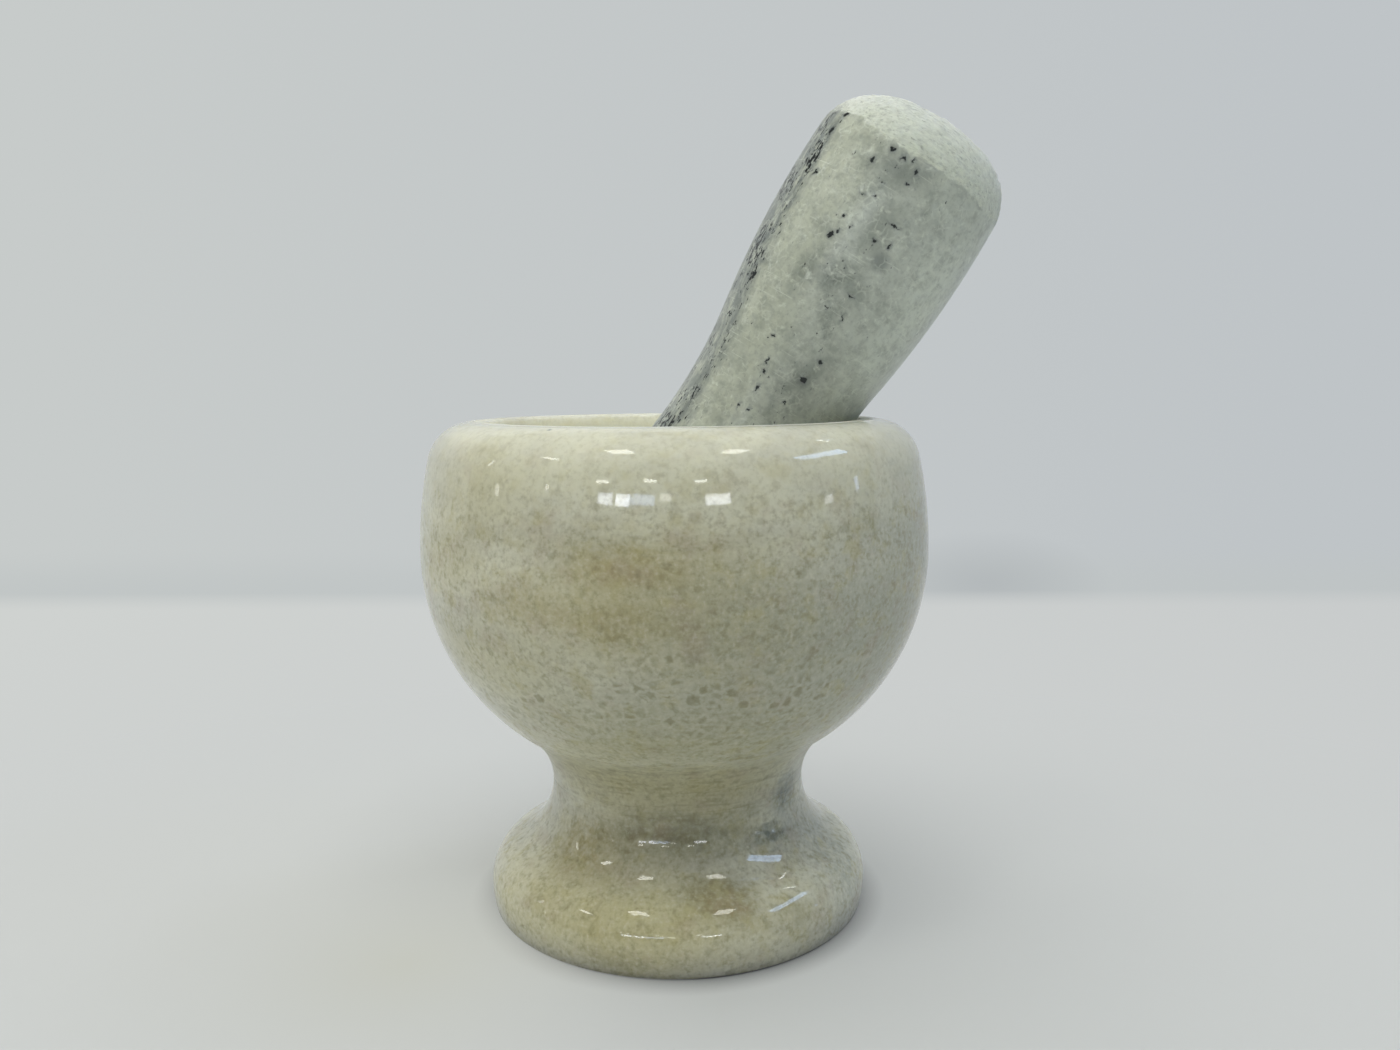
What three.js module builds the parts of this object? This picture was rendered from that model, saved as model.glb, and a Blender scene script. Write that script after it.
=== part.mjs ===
// Marble mortar and pestle: a turned stone bowl on a spreading foot, with a loose waisted pestle leaning in it.
// Millimetres and degrees, +Z up. The origin is the centre of the foot's flat underside.
import * as THREE from 'three';

// Mortar: foot, waist and bowl, turned from one block
const mortarHeight = 97.5;
const bowlDiameter = 100;
const bellyHeight = 72.3; // height of the bowl's widest ring
const bellyUpperRadius = 84; // curve of the flank between that ring and the rim
const rimRound = 8.7; // outer round of the rim
const waistDiameter = 51;
const waistHeight = 25; // height of the narrowest ring
const waistCoveRadius = 13.7;
const footDiameter = 76.5;
const footBeltHeight = 5; // height of the foot's widest ring
const footSideRadius = 19.5; // curve of the foot's side below that ring
const footEdgeRound = 1;

// Cavity of the mortar
const mouthDiameter = 72;
const mouthEdgeRound = 0.8; // the crisp inner edge of the rim
const cavityDepth = 59.6; // from the top of the rim to the lowest point inside
const cavityFloorRadius = 32;

// Pestle: a waisted club with the same domed grinding end at the top and at the bottom
const pestleLength = 127.8;
const pestleWaistDiameter = 32.3;
const pestleSwellDiameter = 39;
const pestleSwellSpacing = 86; // between the two widest rings
const pestleBendSpacing = 30; // between the two rings where the hollow waist turns into a swell
const domeHeight = 10.6; // of each unpolished end, above the crease where the polish stops
const domeFullness = 2.6; // 2 is an ellipse, and more gives a flatter top with tighter shoulders

// Seat: the shaft leans on the mouth's edge, and the lower dome stands in the cavity
const leanAngle = 31.8; // of the pestle's axis from upright
const leanHeading = -5; // compass direction of the lean, from +X towards +Y
const seatGap = 0.3; // left open at both contacts

// Fineness of the facets
const mortarSides = 64;
const pestleSides = 40;
const arcSag = 0.08; // most that a straight step of a section leaves its arc
const domeSteps = 7;
const shaftSteps = 16;

const radians = THREE.MathUtils.degToRad;
const point = (r, z) => new THREE.Vector2(r, z);

// Points along an arc of a section, both ends included
function arc(centre, radius, from, to) {
  const widestStep = 2 * Math.acos(1 - arcSag / Math.max(radius, arcSag));
  const steps = Math.max(2, Math.ceil(Math.abs(to - from) / widestStep));
  return Array.from({ length: steps + 1 }, (_, step) => {
    const angle = from + ((to - from) * step) / steps;
    return point(centre.x + radius * Math.cos(angle), centre.y + radius * Math.sin(angle));
  });
}

// Direction of one point from another, as an angle from the section's outward axis
const bearing = (from, to) => Math.atan2(to.y - from.y, to.x - from.x);

// Radius of the arc that leaves a widest ring upright and runs smoothly into the waist's cove
function radiusIntoCove(ring, cove) {
  const overhang = ring.x - cove.x;
  const rise = ring.y - cove.y;
  const spread = overhang + waistCoveRadius;
  return (overhang ** 2 + rise ** 2 - waistCoveRadius ** 2) / (2 * spread);
}

// Centre of a round of radius round at a height, nested inside a larger arc that it runs smoothly into
function nestedCentre(arcCentre, arcRadius, round, height) {
  const drop = height - arcCentre.y;
  return point(arcCentre.x + Math.sqrt((arcRadius - round) ** 2 - drop ** 2), height);
}

// Cavity: its section runs from the mouth's edge down a straight wall into a round floor
const mouthEdge = point(mouthDiameter / 2 + mouthEdgeRound, mortarHeight - mouthEdgeRound);
const floorCentre = point(0, mortarHeight - cavityDepth + cavityFloorRadius);
const floorFromEdge = bearing(mouthEdge, floorCentre);
const wallTurn = Math.acos((mouthEdgeRound + cavityFloorRadius) / mouthEdge.distanceTo(floorCentre));
const wallFacing = floorFromEdge - wallTurn + 2 * Math.PI; // the way that the wall faces, into the cavity

function cavitySection() {
  const wallFoot = wallFacing - Math.PI;
  return [
    ...arc(mouthEdge, mouthEdgeRound, Math.PI / 2, wallFacing),
    ...arc(floorCentre, cavityFloorRadius, wallFoot, -Math.PI / 2),
  ];
}

// How far a point inside the cavity is from its wall or floor
function gapToCavity(x, z) {
  const spot = point(Math.abs(x), z);
  const inward = point(Math.cos(wallFacing), Math.sin(wallFacing));
  const fromFloorCentre = spot.clone().sub(floorCentre);
  const alongWall = fromFloorCentre.cross(inward);
  return alongWall > 0 ? cavityFloorRadius + fromFloorCentre.dot(inward) : cavityFloorRadius - fromFloorCentre.length();
}

// Mortar
function mortarSection() {
  const belly = point(bowlDiameter / 2, bellyHeight);
  const belt = point(footDiameter / 2, footBeltHeight);
  const cove = point(waistDiameter / 2 + waistCoveRadius, waistHeight);

  const sideCentre = point(belt.x - footSideRadius, belt.y);
  const edgeCentre = nestedCentre(sideCentre, footSideRadius, footEdgeRound, footEdgeRound);

  const shoulderRadius = radiusIntoCove(belt, cove);
  const shoulderCentre = point(belt.x - shoulderRadius, belt.y);
  const shoulderTop = bearing(shoulderCentre, cove);

  const flankRadius = radiusIntoCove(belly, cove);
  const flankCentre = point(belly.x - flankRadius, belly.y);
  const flankFoot = bearing(flankCentre, cove);

  // The rim's round leaves room for the mouth's edge
  const upperCentre = point(belly.x - bellyUpperRadius, belly.y);
  const upperRise = mortarHeight - bellyHeight;
  const edgeReach = mouthEdge.x - upperCentre.x;
  const widestRound = (bellyUpperRadius ** 2 - upperRise ** 2 - edgeReach ** 2) / (2 * (bellyUpperRadius - upperRise));
  const round = Math.min(rimRound, widestRound, upperRise);
  const rimCentre = nestedCentre(upperCentre, bellyUpperRadius, round, mortarHeight - round);
  const rimFoot = bearing(upperCentre, rimCentre);

  return [
    point(0, 0),
    ...arc(edgeCentre, footEdgeRound, -Math.PI / 2, bearing(sideCentre, edgeCentre)),
    ...arc(sideCentre, footSideRadius, bearing(sideCentre, edgeCentre), 0),
    ...arc(shoulderCentre, shoulderRadius, 0, shoulderTop),
    ...arc(cove, waistCoveRadius, shoulderTop + Math.PI, flankFoot + Math.PI),
    ...arc(flankCentre, flankRadius, flankFoot, 0),
    ...arc(upperCentre, bellyUpperRadius, 0, rimFoot),
    ...arc(rimCentre, round, rimFoot, Math.PI / 2),
    ...cavitySection(),
  ];
}

// Pestle, with its middle at its own origin and its axis upright
const creaseHeight = pestleLength / 2 - domeHeight;

// Radius of the shaft at a height above or below the middle
function shaftRadius(height) {
  const waist = pestleWaistDiameter / 2;
  const swell = pestleSwellDiameter / 2;
  const swellHeight = pestleSwellSpacing / 2;
  const bendHeight = pestleBendSpacing / 2;
  const above = Math.abs(height);
  const share = above < bendHeight
    ? above ** 2 / (bendHeight * swellHeight)
    : 1 - (swellHeight - above) ** 2 / ((swellHeight - bendHeight) * swellHeight);
  return waist + (swell - waist) * share;
}

function domeSection() {
  return Array.from({ length: domeSteps + 1 }, (_, step) => {
    const turn = (Math.PI / 2) * (step / domeSteps);
    const radius = step < domeSteps ? shaftRadius(creaseHeight) * Math.cos(turn) ** (2 / domeFullness) : 0;
    return point(radius, creaseHeight + domeHeight * Math.sin(turn));
  });
}

function pestleSection() {
  const upperDome = domeSection();
  const lowerDome = upperDome.map((spot) => point(spot.x, -spot.y)).reverse();
  const shaft = Array.from({ length: shaftSteps - 1 }, (_, step) => {
    const height = creaseHeight * ((2 * (step + 1)) / shaftSteps - 1);
    return point(shaftRadius(height), height);
  });
  return [...lowerDome, ...shaft, ...upperDome];
}

// Where the pestle's middle comes to rest, in the upright plane of its lean: the shaft is pushed out to the
// mouth's edge and the pestle is let down its own axis to the floor, in turn, until neither moves it
function pestleSeat() {
  const axis = point(Math.sin(radians(leanAngle)), Math.cos(radians(leanAngle)));
  const side = point(axis.y, -axis.x);
  const lowerDome = domeSection().map((spot) => point(spot.x, -spot.y));
  const middle = point(0, mortarHeight);
  const settlingPasses = 200;
  for (let pass = 0; pass < settlingPasses; pass += 1) {
    const edge = mouthEdge.clone().sub(middle);
    const edgeGap = edge.dot(side) - shaftRadius(edge.dot(axis)) - mouthEdgeRound;
    middle.addScaledVector(side, edgeGap - seatGap);
    const floorGap = Math.min(...lowerDome.flatMap((spot) => [spot.x, -spot.x].map((across) => gapToCavity(
      middle.x + axis.x * spot.y + side.x * across,
      middle.y + axis.y * spot.y + side.y * across,
    ))));
    middle.addScaledVector(axis, seatGap - floorGap);
  }
  return middle;
}

// Solid turned from a section about the upright axis
function turned(section, sides) {
  const geometry = new THREE.LatheGeometry(section, sides);
  geometry.rotateX(Math.PI / 2);
  return geometry;
}

const polishedCreamMarble = new THREE.MeshStandardMaterial({ color: 0xc3c3ad, roughness: 0.12, metalness: 0 });
const veinedGreyMarble = new THREE.MeshStandardMaterial({ color: 0xa9ada0, roughness: 0.35, metalness: 0 });

const mortar = new THREE.Mesh(turned(mortarSection(), mortarSides), polishedCreamMarble);
mortar.name = 'mortar';

const pestle = new THREE.Mesh(turned(pestleSection(), pestleSides), veinedGreyMarble);
pestle.name = 'pestle';
const seat = pestleSeat();
pestle.position.set(seat.x, 0, seat.y);
pestle.rotation.y = radians(leanAngle);

const leaning = new THREE.Group();
leaning.rotation.z = radians(leanHeading);
leaning.add(pestle);

const mortarAndPestle = new THREE.Group();
mortarAndPestle.add(mortar, leaning);

export default mortarAndPestle;
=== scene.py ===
# Looks of a turned marble mortar and its pestle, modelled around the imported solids. Metres, +Z up.
import math

import bpy
from bpy.props import FloatProperty, FloatVectorProperty, IntProperty, PointerProperty
from mathutils import Matrix, Vector


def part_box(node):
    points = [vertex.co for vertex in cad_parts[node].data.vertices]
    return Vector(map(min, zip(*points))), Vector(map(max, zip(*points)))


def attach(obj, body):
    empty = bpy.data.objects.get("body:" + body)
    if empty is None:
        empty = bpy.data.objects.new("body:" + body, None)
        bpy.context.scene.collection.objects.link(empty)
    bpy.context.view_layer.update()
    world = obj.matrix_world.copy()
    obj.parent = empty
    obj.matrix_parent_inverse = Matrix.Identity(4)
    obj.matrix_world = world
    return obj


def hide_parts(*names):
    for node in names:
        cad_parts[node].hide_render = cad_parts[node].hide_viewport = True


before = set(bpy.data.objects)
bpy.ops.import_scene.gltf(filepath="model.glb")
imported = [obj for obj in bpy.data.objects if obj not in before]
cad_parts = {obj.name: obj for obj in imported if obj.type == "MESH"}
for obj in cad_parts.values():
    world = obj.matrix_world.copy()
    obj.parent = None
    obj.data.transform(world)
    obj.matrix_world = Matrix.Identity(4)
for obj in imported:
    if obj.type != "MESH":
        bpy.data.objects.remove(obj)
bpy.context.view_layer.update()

bl_info = {
    "name": "Marble Mortar and Pestle",
    "version": (1, 0, 0),
    "blender": (4, 5, 0),
    "location": "View3D > Sidebar > Mortar",
    "description": "Turns a footed marble mortar and a waisted marble pestle, and lays a pale stage for them",
    "category": "Object",
}

MM = 0.001
MORTAR_LOW, MORTAR_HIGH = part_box("mortar")
PESTLE_LOW, PESTLE_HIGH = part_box("pestle")
PESTLE_MIDDLE = (PESTLE_LOW + PESTLE_HIGH) / 2

# Sockets of a Mix node that mixes colours
SHARE, FROM, TO, MIXED = 0, 6, 7, 2


# Sizes and colours

def linear(hex_colour):
    """Linear colour with alpha from an sRGB hex value such as c8c4b0"""
    channels = [int(hex_colour[at:at + 2], 16) / 255 for at in (0, 2, 4)]
    return [
        value / 12.92 if value <= 0.04045 else ((value + 0.055) / 1.055) ** 2.4
        for value in channels
    ] + [1]


def length(name, description, default):
    """A size in metres that a user may change"""
    return FloatProperty(name=name, description=description, default=default, unit="LENGTH", precision=5)


def tilt(name, description, degrees):
    """An angle that a user may change, given in degrees"""
    return FloatProperty(name=name, description=description, default=math.radians(degrees), subtype="ANGLE")


def stone_colour(name, description, hex_colour):
    """A colour that a user may change, given as an sRGB hex value"""
    return FloatVectorProperty(
        name=name, description=description, default=linear(hex_colour), size=4, min=0, max=1, subtype="COLOR",
    )


class MortarSizes(bpy.types.PropertyGroup):
    """Sizes of the mortar"""
    height: length("Height", "From the underside to the top of the rim", MORTAR_HIGH.z)
    bowl_diameter: length("Bowl diameter", "Across the bowl's widest ring", MORTAR_HIGH.x - MORTAR_LOW.x)
    belly_height: length("Belly height", "Height of the bowl's widest ring", 72.3 * MM)
    upper_radius: length("Upper flank radius", "Curve of the flank above the widest ring", 84 * MM)
    rim_round: length("Rim round", "Radius of the rim's outer round", 8.7 * MM)
    waist_diameter: length("Waist diameter", "Across the narrowest ring", 51 * MM)
    waist_height: length("Waist height", "Height of the narrowest ring", 25 * MM)
    cove_radius: length("Cove radius", "Radius of the hollow at the waist", 13.7 * MM)
    foot_diameter: length("Foot diameter", "Across the widest ring of the foot", 76.5 * MM)
    belt_height: length("Foot belt height", "Height of the foot's widest ring", 5 * MM)
    foot_side_radius: length("Foot side radius", "Curve of the foot's side below its widest ring", 19.5 * MM)
    foot_edge: length("Foot edge", "Radius of the foot's lower edge", 1 * MM)
    mouth_diameter: length("Mouth diameter", "Across the cavity at the rim", 72 * MM)
    mouth_edge: length("Mouth edge", "Radius of the rim's crisp inner edge", 0.8 * MM)
    cavity_depth: length("Cavity depth", "From the top of the rim to the lowest point inside", 59.6 * MM)
    floor_radius: length("Cavity floor radius", "Radius of the cavity's round floor", 32 * MM)
    sides: IntProperty(name="Sides", description="Facets around the mortar", default=256, min=24)


class PestleSizes(bpy.types.PropertyGroup):
    """Sizes of the pestle and its lean"""
    length: length("Length", "Over both domed ends", 127.8 * MM)
    waist_diameter: length("Waist diameter", "Across the slim middle", 32.3 * MM)
    swell_diameter: length("Swell diameter", "Across the widest ring near each end", 39 * MM)
    swell_spacing: length("Swell spacing", "Between the two widest rings", 86 * MM)
    bend_spacing: length("Bend spacing", "Between the rings where the waist turns into a swell", 30 * MM)
    dome_height: length("Dome height", "Of each unpolished end", 10.6 * MM)
    dome_fullness: FloatProperty(
        name="Dome fullness", description="2 is an ellipse, and more is flatter on top",
        default=2.9, min=1.5, max=5,
    )
    dome_pitting: length("Dome pitting", "Depth of the rough ends' unevenness", 0.5 * MM)
    lean: tilt("Lean", "Of the pestle's axis from upright", 31.8)
    heading: tilt("Heading", "Compass direction of the lean, from +X towards +Y", -5)
    sides: IntProperty(name="Sides", description="Facets around the pestle", default=224, min=24)


class StoneColours(bpy.types.PropertyGroup):
    """Colours of both marbles"""
    cream: stone_colour("Cream", "Ground colour of the mortar", "d6d6c2")
    grey: stone_colour("Grey", "Broad clouds of the mortar", "c5c5b5")
    ash: stone_colour("Ash", "Grey green side of the mortar", "a9ab99")
    straw: stone_colour("Straw", "Warm front of the mortar", "b8b286")
    tan: stone_colour("Tan", "Warm patches of the mortar", "a99d69")
    olive: stone_colour("Olive", "Dark grains of the mortar", "86815f")
    rose: stone_colour("Rose", "Brownish grains of the mortar", "ab9c87")
    slate: stone_colour("Slate", "Cold streaks of the mortar", "717b78")
    milk: stone_colour("Milk", "Pale crystals of the mortar", "ecebdc")
    white: stone_colour("White", "Pale side of the pestle", "c5cab9")
    mist: stone_colour("Mist", "Grey side of the pestle", "c5cbbf")
    moss: stone_colour("Moss", "Grey green clouds of the pestle", "8b9288")
    vein: stone_colour("Vein", "Dark vein along the pestle", "747b79")
    fleck: stone_colour("Fleck", "Black mineral flecks in the pestle", "1c2022")
    frost: stone_colour("Frost", "Bruised crystals on the pestle's rough ends", "dde3d5")


# Sections and turning

def bearing(start, end):
    """Direction of one section point from another"""
    return math.atan2(end.y - start.y, end.x - start.x)


def arc(centre, radius, start, end):
    """Section points along an arc, fine enough to look smooth up close"""
    finest_sag = 0.004 * MM
    widest_step = 2 * math.acos(1 - finest_sag / radius)
    steps = max(2, math.ceil(abs(end - start) / widest_step))
    angles = [start + (end - start) * step / steps for step in range(steps + 1)]
    return [centre + radius * Vector((math.cos(angle), math.sin(angle))) for angle in angles]


def radius_into_cove(ring, cove, cove_radius):
    """Radius of the arc that leaves a widest ring upright and runs smoothly into the waist's cove"""
    overhang, rise = ring - cove
    return (overhang ** 2 + rise ** 2 - cove_radius ** 2) / (2 * (overhang + cove_radius))


def nested_centre(arc_centre, arc_radius, round_radius, height):
    """Centre of a round at a height, inside a larger arc that it runs smoothly into"""
    across = math.sqrt((arc_radius - round_radius) ** 2 - (height - arc_centre.y) ** 2)
    return Vector((arc_centre.x + across, height))


def floor_centre(sizes):
    """Height of the centre that the cavity's round floor is drawn from"""
    return sizes.height - sizes.cavity_depth + sizes.floor_radius


def mortar_section(sizes):
    """Outline of the mortar from the middle of its underside, over the rim, to the lowest point inside"""
    quarter = math.pi / 2
    belly = Vector((sizes.bowl_diameter / 2, sizes.belly_height))
    belt = Vector((sizes.foot_diameter / 2, sizes.belt_height))
    cove = Vector((sizes.waist_diameter / 2 + sizes.cove_radius, sizes.waist_height))

    side = belt - Vector((sizes.foot_side_radius, 0))
    edge = nested_centre(side, sizes.foot_side_radius, sizes.foot_edge, sizes.foot_edge)
    shoulder_radius = radius_into_cove(belt, cove, sizes.cove_radius)
    shoulder = belt - Vector((shoulder_radius, 0))
    flank_radius = radius_into_cove(belly, cove, sizes.cove_radius)
    flank = belly - Vector((flank_radius, 0))
    upper = belly - Vector((sizes.upper_radius, 0))
    rim = nested_centre(upper, sizes.upper_radius, sizes.rim_round, sizes.height - sizes.rim_round)

    mouth = Vector((sizes.mouth_diameter / 2 + sizes.mouth_edge, sizes.height - sizes.mouth_edge))
    floor = Vector((0, floor_centre(sizes)))
    wall_turn = math.acos((sizes.mouth_edge + sizes.floor_radius) / (mouth - floor).length)
    wall_facing = bearing(mouth, floor) - wall_turn + 2 * math.pi

    return [
        Vector((0, 0)),
        *arc(edge, sizes.foot_edge, -quarter, bearing(side, edge)),
        *arc(side, sizes.foot_side_radius, bearing(side, edge), 0),
        *arc(shoulder, shoulder_radius, 0, bearing(shoulder, cove)),
        *arc(cove, sizes.cove_radius, bearing(shoulder, cove) + math.pi, bearing(flank, cove) + math.pi),
        *arc(flank, flank_radius, bearing(flank, cove), 0),
        *arc(upper, sizes.upper_radius, 0, bearing(upper, rim)),
        *arc(rim, sizes.rim_round, bearing(upper, rim), quarter),
        *arc(mouth, sizes.mouth_edge, quarter, wall_facing),
        *arc(floor, sizes.floor_radius, wall_facing - math.pi, -quarter),
    ]


def shaft_radius(sizes, height):
    """Radius of the pestle's shaft at a height above or below its middle"""
    waist, swell = sizes.waist_diameter / 2, sizes.swell_diameter / 2
    swell_height, bend_height = sizes.swell_spacing / 2, sizes.bend_spacing / 2
    above = abs(height)
    if above < bend_height:
        share = above ** 2 / (bend_height * swell_height)
    else:
        share = 1 - (swell_height - above) ** 2 / ((swell_height - bend_height) * swell_height)
    return waist + (swell - waist) * share


def crease_height(sizes):
    """Height of the edge of the polish above the pestle's middle"""
    return sizes.length / 2 - sizes.dome_height


def pestle_section(sizes):
    """Outline of the pestle from its lower pole to its upper pole, with its middle at the origin"""
    dome_steps, shaft_steps = 56, 100
    crease = crease_height(sizes)
    dome = []
    for step in range(dome_steps + 1):
        turned = math.pi / 2 * step / dome_steps
        radius = shaft_radius(sizes, crease) * max(math.cos(turned), 0) ** (2 / sizes.dome_fullness)
        height = crease + sizes.dome_height * math.sin(turned)
        dome.append(Vector((radius if step < dome_steps else 0, height)))
    shaft = []
    for step in range(1, shaft_steps):
        height = crease * (2 * step / shaft_steps - 1)
        shaft.append(Vector((shaft_radius(sizes, height), height)))
    lower_dome = [Vector((spot.x, -spot.y)) for spot in reversed(dome)]
    return lower_dome + shaft + dome


def turn(name, section, sides):
    """Mesh turned about the Z axis: a point is extruded along the section and the outline is spun round"""
    shortest_edge = 0.02 * MM
    closest = 0.001 * MM
    outline = [section[0]]
    for spot in section[1:]:
        if (spot - outline[-1]).length > shortest_edge:
            outline.append(spot)
    outline[-1] = section[-1]

    bpy.ops.object.select_all(action="DESELECT")
    bpy.ops.mesh.primitive_plane_add(size=1, location=(0, 0, 0))
    piece = bpy.context.object
    piece.name = piece.data.name = name
    bpy.ops.object.mode_set(mode="EDIT")
    bpy.ops.mesh.select_all(action="SELECT")
    bpy.ops.mesh.merge(type="CENTER")
    bpy.ops.transform.translate(value=(outline[0].x, 0, outline[0].y))
    for start, end in zip(outline, outline[1:]):
        step = end - start
        bpy.ops.mesh.extrude_vertices_move(TRANSFORM_OT_translate={"value": (step.x, 0, step.y)})
    bpy.ops.mesh.select_all(action="SELECT")
    bpy.ops.mesh.spin(steps=sides, angle=2 * math.pi, center=(0, 0, 0), axis=(0, 0, 1))
    bpy.ops.mesh.select_all(action="SELECT")
    bpy.ops.mesh.remove_doubles(threshold=closest)
    bpy.ops.mesh.normals_make_consistent(inside=False)
    bpy.ops.object.mode_set(mode="OBJECT")
    bpy.ops.object.shade_smooth_by_angle(angle=math.radians(35))
    return piece


def pit_ends(pestle, sizes):
    """Cuts uneven pits into the pestle's rough ends, from the crease on and full a little past it"""
    crease, fade = crease_height(sizes), 4 * MM
    rough = pestle.vertex_groups.new(name="rough_ends")
    for vertex in pestle.data.vertices:
        past = abs(vertex.co.z) - crease
        rough.add([vertex.index], min(max(past / fade, 0), 1), "REPLACE")

    # The noise mostly stays below this level, so the pits go inward
    surface_level = 0.8
    for name, pit_width in (("broad_pits", 3.2 * MM), ("fine_pits", 1.1 * MM)):
        texture = bpy.data.textures.new(name, "CLOUDS")
        texture.noise_scale = pit_width
        texture.noise_depth = 2
        displace = pestle.modifiers.new(name, "DISPLACE")
        displace.texture = texture
        displace.texture_coords = "LOCAL"
        displace.strength = sizes.dome_pitting
        displace.mid_level = surface_level
        displace.vertex_group = rough.name
        bpy.ops.object.modifier_apply(modifier=name)
    pestle.vertex_groups.clear()


# Material building

def add(tree, kind, inputs, **settings):
    """One shader node with its settings, each of its inputs set to a value or linked to an output"""
    node = tree.nodes.new(kind)
    for name, value in settings.items():
        setattr(node, name, value)
    for socket, value in inputs.items():
        if isinstance(value, bpy.types.NodeSocket):
            tree.links.new(value, node.inputs[socket])
        else:
            node.inputs[socket].default_value = value
    return node


def bare_material(name):
    """A material and its tree, with no nodes yet"""
    material = bpy.data.materials.new(name)
    material.use_nodes = True
    material.node_tree.nodes.clear()
    return material, material.node_tree


def finish_stone(tree, colour, roughness, relief):
    """A stone's surface. Light goes about a centimetre into it, as it does into marble"""
    shader = add(tree, "ShaderNodeBsdfPrincipled", {
        "Base Color": colour, "Roughness": roughness, "Normal": relief, "IOR": 1.5,
        "Subsurface Weight": 1, "Subsurface Radius": (1, 0.95, 0.8), "Subsurface Scale": 14 * MM,
    })
    add(tree, "ShaderNodeOutputMaterial", {"Surface": shader.outputs["BSDF"]})


def nearness(tree, place, middle, reach):
    """One at a middle, and falling to none at its reach along each axis, both given in millimetres"""
    near = add(tree, "ShaderNodeMapping", {
        "Vector": place, "Location": Vector(middle) * MM, "Scale": Vector(reach) * MM,
    }, vector_type="TEXTURE")
    ball = add(tree, "ShaderNodeTexGradient", {"Vector": near.outputs[0]}, gradient_type="SPHERICAL")
    return ball.outputs["Fac"]


def band(tree, height, low, low_full, high_full, high, most=1):
    """The most between two full heights, fading to none at a low and a high one, all in millimetres"""
    below = add(tree, "ShaderNodeMapRange", {
        "Value": height, "From Min": high * MM, "From Max": high_full * MM, "To Max": most,
    }, interpolation_type="SMOOTHSTEP")
    return add(tree, "ShaderNodeMapRange", {
        "Value": height, "From Min": low * MM, "From Max": low_full * MM, "To Max": below.outputs[0],
    }, interpolation_type="SMOOTHSTEP").outputs[0]


def patchy(tree, place, width, start, full, most=1, detail=5, roughness=0.5, bending=0):
    """Share of the stone that a noise takes, from none at its start value to the most at its full one"""
    noise = add(tree, "ShaderNodeTexNoise", {
        "Vector": place, "Scale": 1 / width, "Detail": detail, "Roughness": roughness, "Distortion": bending,
    })
    return add(tree, "ShaderNodeMapRange", {
        "Value": noise.outputs["Fac"], "From Min": start, "From Max": full, "To Max": most,
    }, interpolation_type="SMOOTHSTEP").outputs[0]


def astray(tree, place, bed, width, reach, detail, roughness=0.5, still=0.5):
    """A place moved by a noise in a bed of the stone. Where the noise has its still value, it stays"""
    noise = add(tree, "ShaderNodeTexNoise", {
        "Vector": bed, "Scale": 1 / width, "Detail": detail, "Roughness": roughness,
    })
    shift = add(tree, "ShaderNodeVectorMath", {
        0: noise.outputs["Color"], 1: [still] * 3,
    }, operation="SUBTRACT")
    return add(tree, "ShaderNodeVectorMath", {
        0: shift.outputs[0], 1: [reach] * 3, 2: place,
    }, operation="MULTIPLY_ADD").outputs[0]


def layered(tree, stone, layers):
    """The stone's colour with other colours laid over it in turn, each by its share"""
    for share, colour in layers:
        mixed = add(tree, "ShaderNodeMix", {SHARE: share, FROM: stone, TO: colour}, data_type="RGBA")
        stone = mixed.outputs[MIXED]
    return stone


def tinted(tree, stone, place, patches, grain=1):
    """The stone's colour with soft patches, each with its middle and half widths in millimetres, its colour
    and its strength, which grain varies
    """
    layers = []
    for middle, half_widths, colour, strength in patches:
        soft = add(tree, "ShaderNodeMapRange", {
            "Value": nearness(tree, place, middle, half_widths), "From Max": 0.8, "To Max": strength,
        }, interpolation_type="SMOOTHSTEP")
        share = add(tree, "ShaderNodeMath", {
            0: soft.outputs[0], 1: grain,
        }, operation="MULTIPLY", use_clamp=True)
        layers.append((share.outputs[0], colour))
    return layered(tree, stone, layers)


# The mortar's marble

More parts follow.
